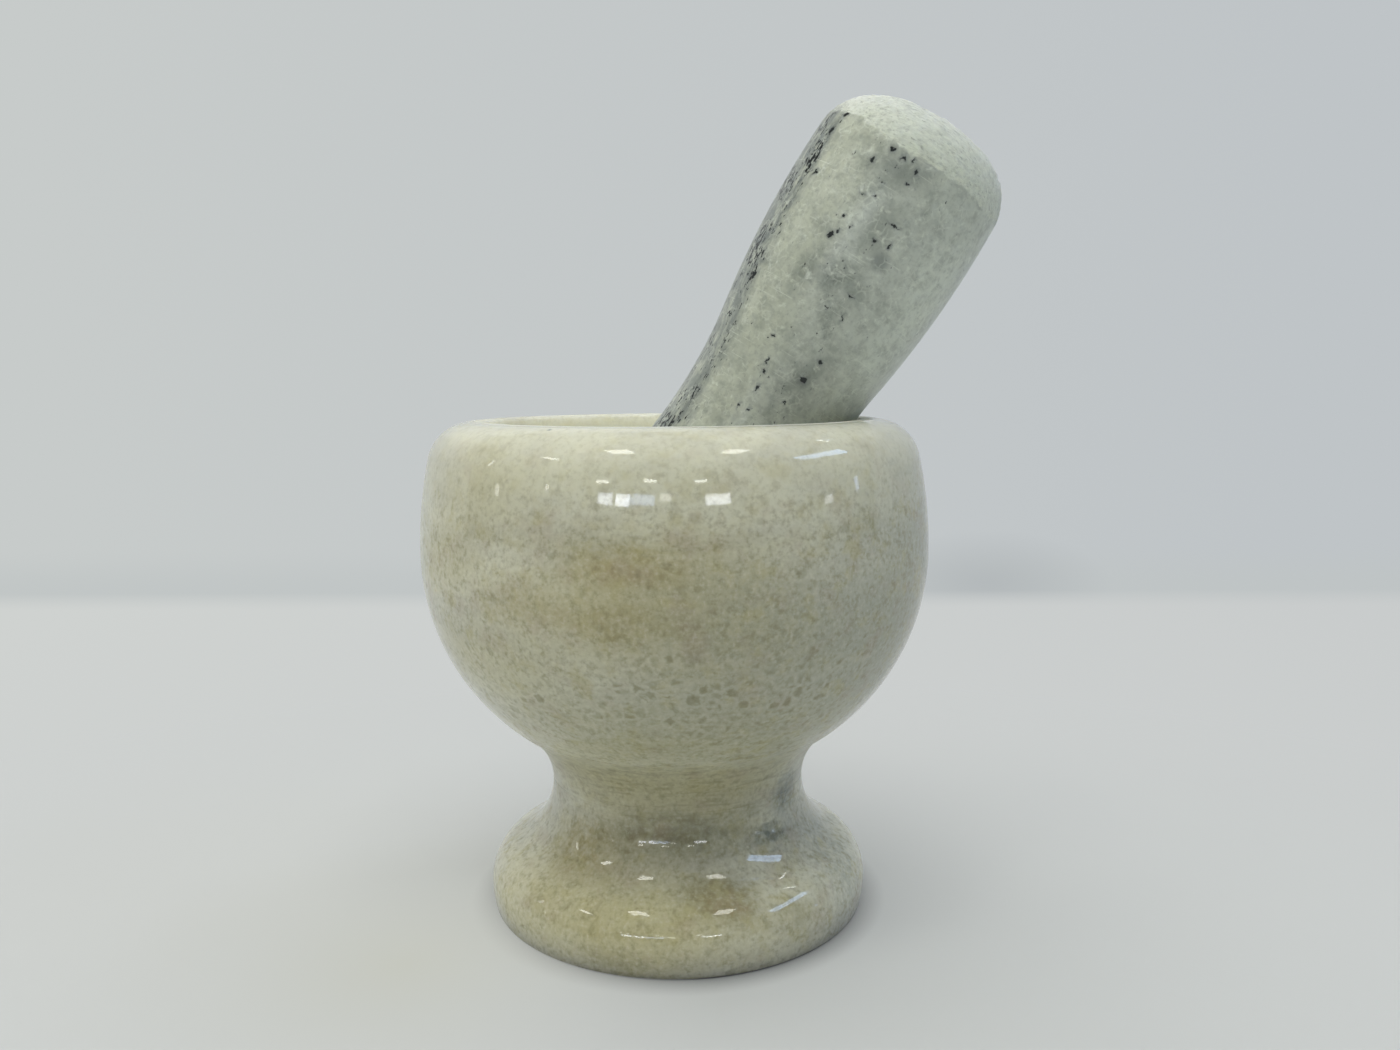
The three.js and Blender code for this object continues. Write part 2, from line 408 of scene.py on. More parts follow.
def cream_block(tree, place, bed, colours):
    """Colour of the block: grey clouds in its bed, broad tints, and smaller patches that speckles break up"""
    cloud_width, wobble_width, wobble_reach, speckle_width = 24 * MM, 7 * MM, 8 * MM, 1.5 * MM
    clouds = patchy(tree, bed, cloud_width, 0.42, 0.7, roughness=0.55)
    stone = layered(tree, colours.cream, [(clouds, colours.grey)])
    shifted = astray(tree, place, bed, wobble_width, wobble_reach, detail=5, roughness=0.65)
    speckles = add(tree, "ShaderNodeTexNoise", {
        "Vector": place, "Scale": 1 / speckle_width, "Detail": 4, "Roughness": 0.65,
    })
    speckled = add(tree, "ShaderNodeMapRange", {
        "Value": speckles.outputs["Fac"], "From Min": 0.36, "From Max": 0.64, "To Min": 0.6, "To Max": 1.4,
    }).outputs[0]
    stone = tinted(tree, stone, shifted, (
        ((52, -16, 60), (54, 62, 48), colours.ash, 0.95),
        ((8, -42, 49), (44, 28, 15), colours.ash, 0.75),
        ((-3, -46, 70), (36, 28, 18), colours.straw, 0.65),
        ((-40, -30, 74), (16, 18, 9), colours.straw, 0.45),
        ((-35, -35, 85), (22, 20, 13), colours.straw, 0.3),
        ((0, -46, 88), (24, 16, 9), colours.cream, 0.8),
        ((25, -40, 90), (18, 16, 9), colours.cream, 0.7),
        ((-8, -33, 8), (28, 24, 15), colours.straw, 0.75),
        ((-28, -22, 8), (22, 20, 13), colours.straw, 0.5),
        ((0, -24, 30), (30, 18, 16), colours.straw, 0.65),
        ((-25, -20, 36), (18, 16, 13), colours.straw, 0.5),
        ((-32, -34, 58), (26, 24, 11), colours.straw, 0.4),
        ((-4, -40, 46), (44, 30, 13), colours.straw, 0.3),
        ((14, -47, 61), (26, 20, 11), colours.straw, 0.25),
        ((18, -31, 6), (20, 18, 12), colours.straw, 0.3),
        ((30, 26, 60), (40, 40, 22), colours.straw, 0.6),
    ))
    return tinted(tree, stone, shifted, (
        ((-7, -48, 75.5), (15, 14, 5.5), colours.tan, 0.5),
        ((-10, -48, 67), (17, 14, 5), colours.tan, 0.45),
        ((-26, -42, 69), (13, 13, 6), colours.tan, 0.35),
        ((-18, -21, 18), (14, 13, 8), colours.tan, 0.48),
        ((7, -32, 12.5), (11, 10, 5), colours.olive, 0.5),
        ((7, -32, 12), (8, 8, 4), colours.tan, 0.3),
        ((21, -31, 8), (7, 7, 4), colours.olive, 0.25),
        ((-12, -36, 3), (10, 8, 3.5), colours.olive, 0.3),
        ((-14, 40, 55), (26, 20, 8), colours.tan, 0.5),
        ((15, -46, 66), (34, 22, 16), colours.slate, 0.24),
        ((-2, -25, 21.5), (20, 14, 6), colours.olive, 0.5),
        ((2, -25, 22), (17, 14, 5), colours.slate, 0.2),
        ((21, -15, 26), (5, 7, 7), colours.slate, 0.6),
        ((17, -20, 19), (9, 8, 3), colours.slate, 0.55),
        ((31, -14, 14), (15, 15, 10), colours.slate, 0.35),
        ((32, -21, 6), (18, 18, 9), colours.slate, 0.2),
    ), speckled)


def cream_mottling(tree, place, neck_streaks, colours):
    """Layers of soft mottling in several widths and hues, and of fine level streaks round the neck"""
    fine_width = 0.8 * MM
    layers = []
    for width, detail, start, full, most, colour in (
        (6 * MM, 4, 0.52, 0.72, 0.32, colours.rose),
        (4.2 * MM, 4, 0.5, 0.3, 0.5, colours.straw),
        (1.6 * MM, 3, 0.46, 0.76, 0.36, colours.olive),
        (fine_width, 3, 0.46, 0.8, 0.3, colours.olive),
        (fine_width, 3, 0.5, 0.22, 0.22, colours.milk),
    ):
        layers.append((patchy(tree, place, width, start, full, most, detail, roughness=0.6), colour))
    level = add(tree, "ShaderNodeMapping", {"Vector": place, "Scale": (0.15, 0.15, 1)}).outputs[0]
    layers.append((patchy(tree, level, fine_width, 0.48, 0.72, neck_streaks, detail=3), colours.olive))
    return layers


def cream_grains(tree, place, bed, height, colours):
    """Layers of dark grains with soft edges. They crowd low on the bowl, most of all at its front, where pale
    borders show between them, and stand alone elsewhere
    """
    grain_width, bend_width, bend_reach, patch_width = 2.2 * MM, 2 * MM, 1.8 * MM, 18 * MM

    # Where they crowd
    patches = add(tree, "ShaderNodeTexNoise", {"Vector": bed, "Scale": 1 / patch_width, "Detail": 3})
    low = add(tree, "ShaderNodeMath", {
        0: band(tree, height, 34, 44, 54, 66), 1: 0.14, 2: patches.outputs["Fac"],
    }, operation="MULTIPLY_ADD")
    low_front = add(tree, "ShaderNodeMath", {
        0: nearness(tree, place, (3, -45, 54), (42, 34, 17)), 1: 0.4, 2: low.outputs[0],
    }, operation="MULTIPLY_ADD")
    coarse = add(tree, "ShaderNodeMapRange", {
        "Value": low_front.outputs[0], "From Min": 0.68, "From Max": 0.9,
    }, interpolation_type="SMOOTHSTEP").outputs[0]

    # How dark each one is
    ragged = astray(tree, place, place, bend_width, bend_reach, detail=3, still=0)
    flattened = add(tree, "ShaderNodeMapping", {"Vector": ragged, "Scale": (1, 1, 1.1)}).outputs[0]
    grains = add(tree, "ShaderNodeTexVoronoi", {"Vector": flattened, "Scale": 1 / grain_width})
    darkness = add(tree, "ShaderNodeMapRange", {
        "Value": grains.outputs["Color"], "From Min": 0.2, "From Max": 0.75, "To Max": 0.5,
    })
    lone = add(tree, "ShaderNodeMapRange", {
        "Value": grains.outputs["Color"], "From Min": 0.72, "From Max": 0.8, "To Max": 0.3,
    })
    crowd = add(tree, "ShaderNodeMath", {0: coarse, 1: darkness.outputs[0]}, operation="MULTIPLY")
    grain_depth = add(tree, "ShaderNodeMath", {0: crowd.outputs[0], 1: lone.outputs[0]}, operation="MAXIMUM")

    # Grains fade towards their borders, which are pale in a crowd
    border_depth = add(tree, "ShaderNodeMath", {0: coarse, 1: 0.1}, operation="MULTIPLY")
    inward = add(tree, "ShaderNodeTexVoronoi", {
        "Vector": flattened, "Scale": 1 / grain_width,
    }, feature="DISTANCE_TO_EDGE").outputs["Distance"]
    layers = []
    for start, full, most, colour in (
        (0.06, 0.3, grain_depth, colours.olive),
        (0.4, 0, border_depth, colours.milk),
    ):
        share = add(tree, "ShaderNodeMapRange", {
            "Value": inward, "From Min": start, "From Max": full, "To Max": most.outputs[0],
        }, interpolation_type="SMOOTHSTEP")
        layers.append((share.outputs[0], colour))
    return layers


def polished_cream_marble(sizes, colours):
    """Cream calcite marble, turned and polished with fine grit until it is glassy.

    Sugary grains of one to three millimetres lie in soft bedded clouds, yellower on one side of the block.
    The polish shows lamps as small sharp lights, and is only satin in the neck. The cavity is honed and
    bruised by grinding and the underside is sawn, so both are matt.
    """
    material, tree = bare_material("polished_cream_marble")
    place = add(tree, "ShaderNodeTexCoord", {}).outputs["Object"]
    height = add(tree, "ShaderNodeSeparateXYZ", {0: place}).outputs["Z"]

    # The bed leans a little, and its clouds are three times as wide as they are tall
    bed = add(tree, "ShaderNodeMapping", {
        "Vector": place, "Rotation": (0.09, -0.14, 0), "Scale": (1, 1, 3),
    }).outputs[0]
    neck_strength = 0.4
    neck = band(tree, height, 18, 28, 36, 44, neck_strength)

    # The rim is the calmest part of the block, with the mottling under half as strong
    plain = cream_block(tree, place, bed, colours)
    mottled = layered(tree, plain, [
        *cream_mottling(tree, place, neck, colours),
        *cream_grains(tree, place, bed, height, colours),
    ])
    lively = add(tree, "ShaderNodeMapRange", {
        "Value": height, "From Min": 96 * MM, "From Max": 76 * MM, "To Min": 0.45,
    }, interpolation_type="SMOOTHSTEP").outputs[0]

    # One small dark pit in the rim
    pit = nearness(tree, place, (-20.7, -36.6, 97.1), (0.6, 0.6, 0.6))

    # How far a place is from the cavity's axis or, below its floor's centre, from that centre. Inside the
    # mouth the stone is bruised white, and the polish ends a little outside it
    mouth_radius = sizes.mouth_diameter / 2
    centre = (0, 0, floor_centre(sizes))
    lifted = add(tree, "ShaderNodeVectorMath", {0: place, 1: centre}, operation="SUBTRACT")
    lowered = add(tree, "ShaderNodeVectorMath", {0: lifted.outputs[0], 1: (1, 1, 0)}, operation="MINIMUM")
    reach = add(tree, "ShaderNodeVectorMath", {0: lowered.outputs[0]}, operation="LENGTH")
    from_cavity = reach.outputs["Value"]
    bruised = add(tree, "ShaderNodeMapRange", {
        "Value": from_cavity, "From Min": mouth_radius, "From Max": mouth_radius - 0.6 * MM, "To Max": 0.8,
    }).outputs[0]
    honed = add(tree, "ShaderNodeMapRange", {
        "Value": from_cavity, "From Min": mouth_radius + 5 * MM, "From Max": mouth_radius + 0.2 * MM,
    }, interpolation_type="SMOOTHSTEP")
    sawn = add(tree, "ShaderNodeMapRange", {"Value": height, "From Min": 0.4 * MM, "From Max": 0})
    matt = add(tree, "ShaderNodeMath", {
        0: honed.outputs[0], 1: sawn.outputs[0],
    }, operation="MAXIMUM").outputs[0]
    satin = add(tree, "ShaderNodeMapRange", {
        "Value": neck, "From Max": neck_strength, "To Min": 0.04, "To Max": 0.3,
    })
    roughness = add(tree, "ShaderNodeMapRange", {"Value": matt, "To Min": satin.outputs[0], "To Max": 0.6})

    # Grit marks of the matt surfaces, drawn at half a millimetre so that they show
    grit_width, grit_depth = 0.5 * MM, 0.03 * MM
    grit = add(tree, "ShaderNodeTexNoise", {"Vector": place, "Scale": 1 / grit_width, "Detail": 2})
    relief = add(tree, "ShaderNodeBump", {
        "Strength": matt, "Distance": grit_depth, "Height": grit.outputs["Fac"],
    })
    stone = layered(tree, plain, [(lively, mottled), (pit, colours.slate), (bruised, colours.milk)])
    finish_stone(tree, stone, roughness.outputs[0], relief.outputs[0])
    return material


# The pestle's marble

def veined_seams(tree, own, across, along):
    """Shares of the edge seam, the middle seam and the misty side. A seam wanders: its distance across leans
    along the axis and is bent by a noise that is long along it
    """
    wander_width, wander_reach, seam_lean = 10 * MM, 6 * MM, 0.08
    drawn = add(tree, "ShaderNodeMapping", {"Vector": own, "Scale": (1, 1, 0.4)}).outputs[0]
    wander = add(tree, "ShaderNodeTexNoise", {
        "Vector": drawn, "Scale": 1 / wander_width, "Detail": 6, "Roughness": 0.65,
    })
    stray = add(tree, "ShaderNodeMath", {0: wander.outputs["Fac"], 1: -0.5}, operation="ADD")
    leaning = add(tree, "ShaderNodeMath", {0: along, 1: seam_lean, 2: across}, operation="MULTIPLY_ADD")
    bent = add(tree, "ShaderNodeMath", {
        0: stray.outputs[0], 1: wander_reach, 2: leaning.outputs[0],
    }, operation="MULTIPLY_ADD").outputs[0]
    gap = add(tree, "ShaderNodeMath", {0: bent}, operation="ABSOLUTE").outputs[0]

    # The edge seam is a little fainter low on the shaft
    edge_depth = add(tree, "ShaderNodeMapRange", {
        "Value": along, "From Min": 6 * MM, "From Max": 28 * MM, "To Min": 0.85,
    }).outputs[0]
    shares = []
    for distance, start, full, most in (
        (bent, -10.5 * MM, -13 * MM, edge_depth),
        (gap, 8 * MM, 3 * MM, 1),
        (bent, -7 * MM, 2 * MM, 1),
    ):
        share = add(tree, "ShaderNodeMapRange", {
            "Value": distance, "From Min": start, "From Max": full, "To Max": most,
        }, interpolation_type="SMOOTHSTEP")
        shares.append(share.outputs[0])
    return shares


def veined_ground(tree, own, edge_seam, middle_seam, colours):
    """Layers of mossy clouds, finer mottling, pale wisps and the streaks of the vein"""
    combed = add(tree, "ShaderNodeMapping", {"Vector": own, "Scale": (1, 1, 0.4)}).outputs[0]
    cloud_depth = add(tree, "ShaderNodeMapRange", {"Value": middle_seam, "To Min": 0.3, "To Max": 0.9})
    vein_depth = add(tree, "ShaderNodeMapRange", {"Value": edge_seam, "To Max": 0.85})
    layers = []
    for place, width, bending, start, full, most, colour in (
        (own, 7 * MM, 0.2, 0.45, 0.7, cloud_depth.outputs[0], colours.moss),
        (own, 2.6 * MM, 0.3, 0.44, 0.72, 0.45, colours.moss),
        (own, 1 * MM, 0.2, 0.46, 0.78, 0.5, colours.moss),
        (own, 1.8 * MM, 0.4, 0.54, 0.74, 0.75, colours.frost),
        (combed, 1.6 * MM, 0.3, 0.26, 0.6, vein_depth.outputs[0], colours.vein),
    ):
        share = patchy(tree, place, width, start, full, most, roughness=0.65, bending=bending)
        layers.append((share, colour))
    return layers


def pale_crystals(tree, own, colours):
    """Layer of the fine pale network between crystals, parts of which show"""
    crystal_width, bend_width, bend_reach, shown_width = 1.7 * MM, 1.2 * MM, 1.2 * MM, 3 * MM
    bent = astray(tree, own, own, bend_width, bend_reach, detail=2, still=0)
    borders = add(tree, "ShaderNodeTexVoronoi", {
        "Vector": bent, "Scale": 1 / crystal_width,
    }, feature="DISTANCE_TO_EDGE")
    shown = add(tree, "ShaderNodeTexNoise", {"Vector": own, "Scale": 1 / shown_width, "Detail": 2})
    depth = add(tree, "ShaderNodeMapRange", {
        "Value": shown.outputs["Fac"], "From Min": 0.45, "From Max": 0.65, "To Max": 0.4,
    })
    share = add(tree, "ShaderNodeMapRange", {
        "Value": borders.outputs["Distance"], "From Min": 0.12, "From Max": 0, "To Max": depth.outputs[0],
    }, interpolation_type="SMOOTHSTEP")
    return [(share.outputs[0], colours.frost)]


def turning_scratches(tree, own, colours):
    """Layer of the scratches left by turning: faint pale arcs round the axis, each a little astray"""
    scratch_width, scratch_length, scratched_width = 0.3 * MM, 9 * MM, 8 * MM
    thin = scratch_width / scratch_length
    round_axis = add(tree, "ShaderNodeMapping", {
        "Vector": own, "Rotation": (0, 0.16, 0), "Scale": (thin, thin, 1),
    })
    scratches = add(tree, "ShaderNodeTexNoise", {
        "Vector": round_axis.outputs[0], "Scale": 1 / scratch_width, "Detail": 1,
    })
    scratched = add(tree, "ShaderNodeTexNoise", {"Vector": own, "Scale": 1 / scratched_width, "Detail": 2})
    depth = add(tree, "ShaderNodeMapRange", {
        "Value": scratched.outputs["Fac"], "From Min": 0.45, "From Max": 0.6, "To Max": 0.6,
    })
    share = add(tree, "ShaderNodeMapRange", {
        "Value": scratches.outputs["Fac"], "From Min": 0.68, "From Max": 0.74, "To Max": depth.outputs[0],
    })
    return [(share.outputs[0], colours.frost)]


def small_flecks(tree, own, edge_seam, middle_seam):
    """Height of the small flecks: peaks of a noise that is long along the axis, raised where they crowd in
    the edge seam and scatter in the middle one
    """
    fleck_width, cluster_width = 0.7 * MM, 6 * MM
    clusters = add(tree, "ShaderNodeTexNoise", {"Vector": own, "Scale": 1 / cluster_width, "Detail": 2})
    clustered = add(tree, "ShaderNodeMapRange", {
        "Value": clusters.outputs["Fac"], "From Min": 0.4, "From Max": 0.58, "To Min": 0.4,
    })
    scattered = add(tree, "ShaderNodeMath", {0: middle_seam, 1: 0.15}, operation="MULTIPLY")
    crowd = add(tree, "ShaderNodeMath", {0: edge_seam, 1: scattered.outputs[0]}, operation="MAXIMUM")
    crowded = add(tree, "ShaderNodeMath", {
        0: crowd.outputs[0], 1: clustered.outputs[0],
    }, operation="MULTIPLY")
    drawn = add(tree, "ShaderNodeMapping", {"Vector": own, "Scale": (1, 1, 0.55)})
    peaks = add(tree, "ShaderNodeTexNoise", {
        "Vector": drawn.outputs[0], "Scale": 1 / fleck_width, "Detail": 4, "Roughness": 0.6,
    })
    return add(tree, "ShaderNodeMath", {
        0: crowded.outputs[0], 1: 0.2, 2: peaks.outputs["Fac"],
    }, operation="MULTIPLY_ADD").outputs[0]


def large_flecks(tree, own, sizes):
    """Height of the larger flecks on the shaft's front: ragged balls on its surface"""
    ragged_width, ragged_reach, half_depth, fringe = 0.8 * MM, 1.6 * MM, 1, 2.5
    torn = astray(tree, own, own, ragged_width, ragged_reach, detail=2)
    flecks = 0

    # Place across and along the shaft, half width and half length, in millimetres
    for across, along, half_width, half_length in (
        (-6.8, 48.5, 0.5, 0.8),
        (-4.7, 51.7, 0.45, 0.6),
        (-2.3, 51.4, 0.5, 0.45),
        (0.8, 50.4, 0.3, 0.6),
        (-0.4, 51.8, 0.3, 0.4),
        (0.7, 48, 0.25, 0.25),
        (-6.3, 34.1, 0.5, 0.6),
        (-5.5, 35, 0.25, 0.25),
        (3.8, 37.5, 0.25, 0.6),
        (0.9, 36.9, 0.3, 0.3),
        (3.3, 10, 0.65, 0.8),
        (4.3, 14.3, 0.45, 0.4),
        (-4.2, 9.5, 0.22, 0.6),
        (-3.2, 4.4, 0.22, 0.65),
        (-3.6, 7.6, 0.4, 0.35),
        (-5.7, 14.1, 0.25, 0.25),
        (-5.9, 37.9, 0.22, 0.28),
        (-4, 36.9, 0.22, 0.35),
        (-3.2, 43.4, 0.22, 0.28),
        (-5.2, 42.7, 0.25, 0.2),
        (2.6, 40.8, 0.9, 0.2),
        (-0.1, 22.9, 0.22, 0.22),
        (3.3, 22.9, 0.2, 0.6),
        (2.7, 26.8, 0.5, 0.2),
        (-4.3, -0.1, 0.22, 0.5),
        (-2.5, 0.2, 0.22, 0.4),
        (2.4, 4.7, 0.2, 0.35),
        (-0.3, 54.2, 0.3, 0.35),
        (-14.6, 42.6, 0.3, 0.6),
        (-15.3, 54.1, 0.5, 0.6),
        (-16.1, 50.7, 0.5, 0.9),
    ):
        radius = shaft_radius(sizes, along * MM) / MM
        middle = (across, -math.sqrt(radius ** 2 - across ** 2), along)
        reach = Vector((half_width, half_depth, half_length)) * fringe
        fleck = nearness(tree, torn, middle, reach)
        flecks = add(tree, "ShaderNodeMath", {0: flecks, 1: fleck}, operation="MAXIMUM").outputs[0]
    return flecks


def black_flecks(tree, small, large, colours):
    """Layers of the black flecks, each with a slate fringe under it"""
    layers = []
    for flecks, start, full, most, colour in (
        (small, 0.62, 0.76, 0.55, colours.vein),
        (large, 0, 0.7, 0.5, colours.vein),
        (small, 0.71, 0.74, 1, colours.fleck),
        (large, 0.6, 0.72, 0.95, colours.fleck),
    ):
        share = add(tree, "ShaderNodeMapRange", {
            "Value": flecks, "From Min": start, "From Max": full, "To Max": most,
        }, interpolation_type="SMOOTHSTEP")
        layers.append((share.outputs[0], colour))
    return layers


def rough_ends(tree, own, across, along, crease):
    """One on the pestle's unpolished ends. The polish stops at a straying edge, further out on the left"""
    edge_width, edge_reach, edge_rise = 3 * MM, 3 * MM, 2 * MM
    edge_noise = add(tree, "ShaderNodeTexNoise", {
        "Vector": own, "Scale": 1 / edge_width, "Detail": 5, "Roughness": 0.6,
    })
    stray = add(tree, "ShaderNodeMath", {0: edge_noise.outputs["Fac"], 1: -0.5}, operation="ADD")
    from_middle = add(tree, "ShaderNodeMath", {0: along}, operation="ABSOLUTE")
    leftward = add(tree, "ShaderNodeMapRange", {
        "Value": across, "From Min": -4 * MM, "From Max": -14 * MM, "To Max": edge_rise,
    })
    raised = add(tree, "ShaderNodeMath", {
        0: from_middle.outputs[0], 1: leftward.outputs[0],
    }, operation="SUBTRACT")
    strayed = add(tree, "ShaderNodeMath", {
        0: stray.outputs[0], 1: edge_reach, 2: raised.outputs[0],
    }, operation="MULTIPLY_ADD")
    return add(tree, "ShaderNodeMapRange", {
        "Value": strayed.outputs[0], "From Min": crease - 0.7 * MM, "From Max": crease - 0.4 * MM,
    }).outputs[0]


def veined_marble(sizes, colours):
    """White marble with a slate vein, its shaft satin polished and its ends left rough from grinding.

    The vein is a flat seam along the pestle's left edge, full of long black flecks. A fainter seam with
    scattered flecks runs through the middle, and the ground is finely mottled, whiter on the left. The rough
    ends look frosted, with grey dirt in their pits.
    """
    material, tree = bare_material("veined_marble")
    place = add(tree, "ShaderNodeTexCoord", {}).outputs["Object"]

    # The pestle's own place, with its axis upright
    leaned = Matrix.Rotation(sizes.heading, 3, "Z") @ Matrix.Rotation(sizes.lean, 3, "Y")
    own = add(tree, "ShaderNodeMapping", {
        "Vector": place, "Location": PESTLE_MIDDLE, "Rotation": leaned.to_euler(),
    }, vector_type="TEXTURE").outputs[0]
    across, _, along = add(tree, "ShaderNodeSeparateXYZ", {0: own}).outputs

    edge_seam, middle_seam, misty = veined_seams(tree, own, across, along)
    stone = layered(tree, colours.white, [(misty, colours.mist)])
    stone = tinted(tree, stone, own, (
        ((-2, -19, 49), (7, 8, 4.5), colours.moss, 0.6),
        ((0.5, -19.4, 38), (4.5, 8, 7), colours.moss, 0.55),
        ((3.8, -19, 34.4), (2.6, 6, 2.6), colours.vein, 0.6),
        ((2.8, -18.6, 27.4), (3.5, 6, 3), colours.moss, 0.4),
        ((4, -16.2, 10), (4, 6, 4), colours.moss, 0.5),
        ((-6.8, -17.3, 26), (3.5, 8, 9), colours.moss, 0.35),
        ((11, -13.5, 16), (7, 9, 13), colours.frost, 0.5),
        ((14, -13, 34), (8, 10, 18), colours.frost, 0.6),
    ))
    small = small_flecks(tree, own, edge_seam, middle_seam)
    large = large_flecks(tree, own, sizes)
    stone = layered(tree, stone, [
        *veined_ground(tree, own, edge_seam, middle_seam, colours),
        *pale_crystals(tree, own, colours),
        *turning_scratches(tree, own, colours),
        *black_flecks(tree, small, large, colours),
    ])

    # Bruised crystals of the rough ends scatter white, so the stone under them shows only faintly, a little
    # more of it at the vein. Their pits hold grey dirt
    frost_width, pit_width, pit_depth = 0.7 * MM, 0.45 * MM, 0.6 * MM
    rough = rough_ends(tree, own, across, along, crease_height(sizes))
    stroked = add(tree, "ShaderNodeMapping", {"Vector": own, "Scale": (0.3, 1, 1)}).outputs[0]
    frost = add(tree, "ShaderNodeTexNoise", {
        "Vector": stroked, "Scale": 1 / frost_width, "Detail": 5, "Roughness": 0.75,
    })
    thinned = add(tree, "ShaderNodeMapRange", {"Value": edge_seam, "To Min": 1, "To Max": 0.5})
    frost_depth = add(tree, "ShaderNodeMapRange", {
        "Value": frost.outputs["Fac"], "From Min": 0.36, "From Max": 0.6, "To Min": 0.25,
        "To Max": thinned.outputs[0],
    })
    pits = add(tree, "ShaderNodeTexNoise", {
        "Vector": stroked, "Scale": 1 / pit_width, "Detail": 4, "Roughness": 0.7,
    }).outputs["Fac"]
    dirt_depth = add(tree, "ShaderNodeMapRange", {
        "Value": pits, "From Min": 0.44, "From Max": 0.3, "To Max": 0.7,
    })
    ends = []
    for depth, colour in ((frost_depth, colours.frost), (dirt_depth, colours.moss)):
        share = add(tree, "ShaderNodeMath", {0: depth.outputs[0], 1: rough}, operation="MULTIPLY")
        ends.append((share.outputs[0], colour))
    relief = add(tree, "ShaderNodeBump", {"Strength": rough, "Distance": pit_depth, "Height": pits})
    roughness = add(tree, "ShaderNodeMapRange", {"Value": rough, "To Min": 0.3, "To Max": 0.85})
    finish_stone(tree, layered(tree, stone, ends), roughness.outputs[0], relief.outputs[0])
    return material


# Stage

def pale_stage():
    """White painted table with a soft join to a grey painted wall, both matt, so neither shows the lamps.

    The camera sees the wall and, away from the bowl's shadow, the table at their own colours, as if lit
    evenly. Both are painted darker towards the right as shade. The wall has painted shade along its foot
    and a painted shadow of the bowl at one place there. The table has painted warm light from the stone
    beside the bowl's foot, where less of its shadow shows, and a narrow shadow darkens it where the foot
    stands on it.
    """
    material, tree = bare_material("pale_stage")
    in_front, shaded_reach, even_reach, contact_reach = (0, -0.12, 0), 0.07, 0.28, 5 * MM
    join_start, join_end, foot_height = 0.05 * MM, 5 * MM, 26 * MM
    place = add(tree, "ShaderNodeTexCoord", {}).outputs["Object"]
    across, _, height = add(tree, "ShaderNodeSeparateXYZ", {0: place}).outputs
    # Painted shade: the wall and the table are drawn darker towards the right
    painted_shade_rightward = add(tree, "ShaderNodeMapRange", {
        "Value": across, "From Min": -0.3, "From Max": 0.3,
    }).outputs[0]
    risen = add(tree, "ShaderNodeMapRange", {
        "Value": height, "From Min": join_start, "From Max": join_end,
    }).outputs[0]
    # Painted shade along the foot of the wall
    shaded = add(tree, "ShaderNodeMapRange", {
        "Value": height, "From Min": foot_height, "From Max": join_end, "To Max": 0.7,
    }, interpolation_type="SMOOTHSTEP").outputs[0]
    # Painted shadow of the bowl on the wall's foot, to the right behind the bowl
    painted_wall_shadow = nearness(tree, place, (150, 305, 6), (60, 50, 26))
    # Painted warm light thrown from the stone onto the table left of the foot. There the table also shows its
    # evenly lit colour, which hides part of the bowl's shadow
    painted_stone_glow = nearness(tree, place, (-50, -30, 0), (60, 60, 60))

    # Colours of the wall and table, with painted shade to the right and along the wall's foot, the bowl's
    # painted shadow on the wall, and painted warm light from the stone on the table
    wall = layered(tree, linear("c7cbca"), [
        (painted_shade_rightward, linear("bfc4c7")), (shaded, linear("bfc4c4")), (painted_wall_shadow, linear("b2b7b9")),
    ])
    even_table = layered(tree, linear("cfd2d0"), [(painted_shade_rightward, linear("c9cccc")), (painted_stone_glow, linear("c5c7be"))])
    colour = layered(tree, linear("c8cac6"), [(risen, wall)])
    contact = add(tree, "ShaderNodeAmbientOcclusion", {"Color": colour, "Distance": contact_reach}, samples=6)
    lit = add(tree, "ShaderNodeBsdfDiffuse", {"Color": contact.outputs["Color"]})
    even = layered(tree, even_table, [(risen, wall)])
    glow = add(tree, "ShaderNodeEmission", {"Color": even, "Strength": 1})

    distance = add(tree, "ShaderNodeVectorMath", {0: place, 1: in_front}, operation="DISTANCE")
    share = add(tree, "ShaderNodeMapRange", {
        "Value": distance.outputs["Value"], "From Min": shaded_reach, "From Max": even_reach,
    }).outputs[0]
    ray = add(tree, "ShaderNodeLightPath", {})
    seen = add(tree, "ShaderNodeMath", {
        0: ray.outputs["Is Camera Ray"], 1: ray.outputs["Is Glossy Ray"],
    }, operation="MAXIMUM").outputs[0]
    for operation, other in (("MAXIMUM", painted_stone_glow), ("MAXIMUM", risen), ("MULTIPLY", seen)):
        share = add(tree, "ShaderNodeMath", {0: share, 1: other}, operation=operation).outputs[0]
    shown = add(tree, "ShaderNodeMixShader", {0: share, 1: lit.outputs[0], 2: glow.outputs[0]})
    add(tree, "ShaderNodeOutputMaterial", {"Surface": shown.outputs[0]})
    return material


